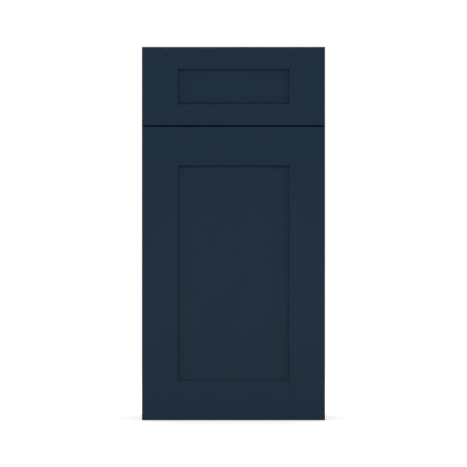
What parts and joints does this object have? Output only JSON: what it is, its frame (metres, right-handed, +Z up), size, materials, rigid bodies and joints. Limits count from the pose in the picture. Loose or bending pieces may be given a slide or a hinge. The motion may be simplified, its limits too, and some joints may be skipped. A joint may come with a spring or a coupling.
{
  "type": "bathroom vanity cabinet",
  "caption": "Narrow wall-hung vanity cabinet with a drawer above a hinged door, both with frame-and-panel fronts, and an open top.",
  "frame": {"origin": "centre of the cabinet's underside, with the overall box centred on X and Y", "axes": "+Z up, the fronts face -Y, the wall is at +Y, the door is hinged on the -X side"},
  "size_m": [0.381, 0.533, 0.7765],
  "materials": {
    "navy_paint": "satin navy paint",
    "side_panel": "satin navy paint outside, clear birch inside",
    "birch_ply": "clear satin",
    "maple": "clear satin",
    "beech_dowel": "plain",
    "zinc_steel": "bright zinc plate",
    "nickel_steel": "nickel plate",
    "ball_steel": "polished",
    "clear_bumper": "clear silicone"
  },
  "bodies": {
    "cabinet": {"back_panel": "birch_ply", "cleat_screws": "zinc_steel", "corner_braces": "birch_ply", "face_frame_bottom_rail": "navy_paint", "face_frame_dowels": "beech_dowel", "face_frame_mid_rail": "navy_paint", "face_frame_stile_left": "navy_paint", "face_frame_stile_right": "navy_paint", "face_frame_top_rail": "navy_paint", "floor_panel": "birch_ply", "hanging_rail_bottom": "birch_ply", "hanging_rail_top": "birch_ply", "hinge_base_bottom": "nickel_steel", "hinge_base_screws": "nickel_steel", "hinge_base_top": "nickel_steel", "shelf_pins": "zinc_steel", "side_panel_left": "side_panel", "side_panel_right": "side_panel", "slide_cabinet_member_left": "zinc_steel", "slide_cabinet_member_right": "zinc_steel", "slide_cabinet_screws": "zinc_steel", "slide_cleat_left": "birch_ply", "slide_cleat_right": "birch_ply"},
    "door": {"door_bumpers": "clear_bumper", "door_panel": "navy_paint", "door_rail_bottom": "navy_paint", "door_rail_top": "navy_paint", "door_stile_left": "navy_paint", "door_stile_right": "navy_paint", "hinge_cup_bottom": "nickel_steel", "hinge_cup_screws": "nickel_steel", "hinge_cup_top": "nickel_steel", "hinge_pins": "nickel_steel", "hinge_springs": "nickel_steel"},
    "drawer": {"drawer_bottom": "birch_ply", "drawer_box_back": "maple", "drawer_box_front": "maple", "drawer_bumpers": "clear_bumper", "drawer_front_panel": "navy_paint", "drawer_front_rail_bottom": "navy_paint", "drawer_front_rail_top": "navy_paint", "drawer_front_screws": "zinc_steel", "drawer_front_stile_left": "navy_paint", "drawer_front_stile_right": "navy_paint", "drawer_side_left": "maple", "drawer_side_right": "maple", "slide_drawer_member_left": "zinc_steel", "slide_drawer_member_right": "zinc_steel", "slide_drawer_screws": "zinc_steel"},
    "shelf": {"shelf": "birch_ply"},
    "inner_ball_cages": {"slide_inner_balls": "ball_steel", "slide_inner_cages": "zinc_steel"},
    "slide_middles": {"slide_middle_member_left": "zinc_steel", "slide_middle_member_right": "zinc_steel"},
    "outer_ball_cages": {"slide_outer_balls": "ball_steel", "slide_outer_cages": "zinc_steel"}
  },
  "joints": [
    {"name": "drawer_slide", "type": "slide", "parent": "cabinet", "child": "drawer", "axis": [0, -1, 0], "range_m": [0, 0.45]},
    {"name": "slide_middle_travel", "type": "slide", "parent": "cabinet", "child": "slide_middles", "axis": [0, -1, 0], "range_m": [0, 0.225]},
    {"name": "outer_cage_travel", "type": "slide", "parent": "cabinet", "child": "outer_ball_cages", "axis": [0, -1, 0], "range_m": [0, 0.1125]},
    {"name": "inner_cage_travel", "type": "slide", "parent": "cabinet", "child": "inner_ball_cages", "axis": [0, -1, 0], "range_m": [0, 0.3375]},
    {"name": "door_swing", "type": "hinge", "parent": "cabinet", "child": "door", "pos_m": [-0.1825, -0.255, 0.306], "axis": [0, 0, -1], "range_deg": [0, 110]},
    {"name": "shelf_lift", "type": "slide", "parent": "cabinet", "child": "shelf", "axis": [0, 0, 1], "range_m": [0, 0.096]}
  ],
  "couplings": [
    {"joint": "slide_middle_travel", "follows": "drawer_slide", "ratio": 0.5},
    {"joint": "outer_cage_travel", "follows": "drawer_slide", "ratio": 0.25},
    {"joint": "inner_cage_travel", "follows": "drawer_slide", "ratio": 0.75}
  ]
}
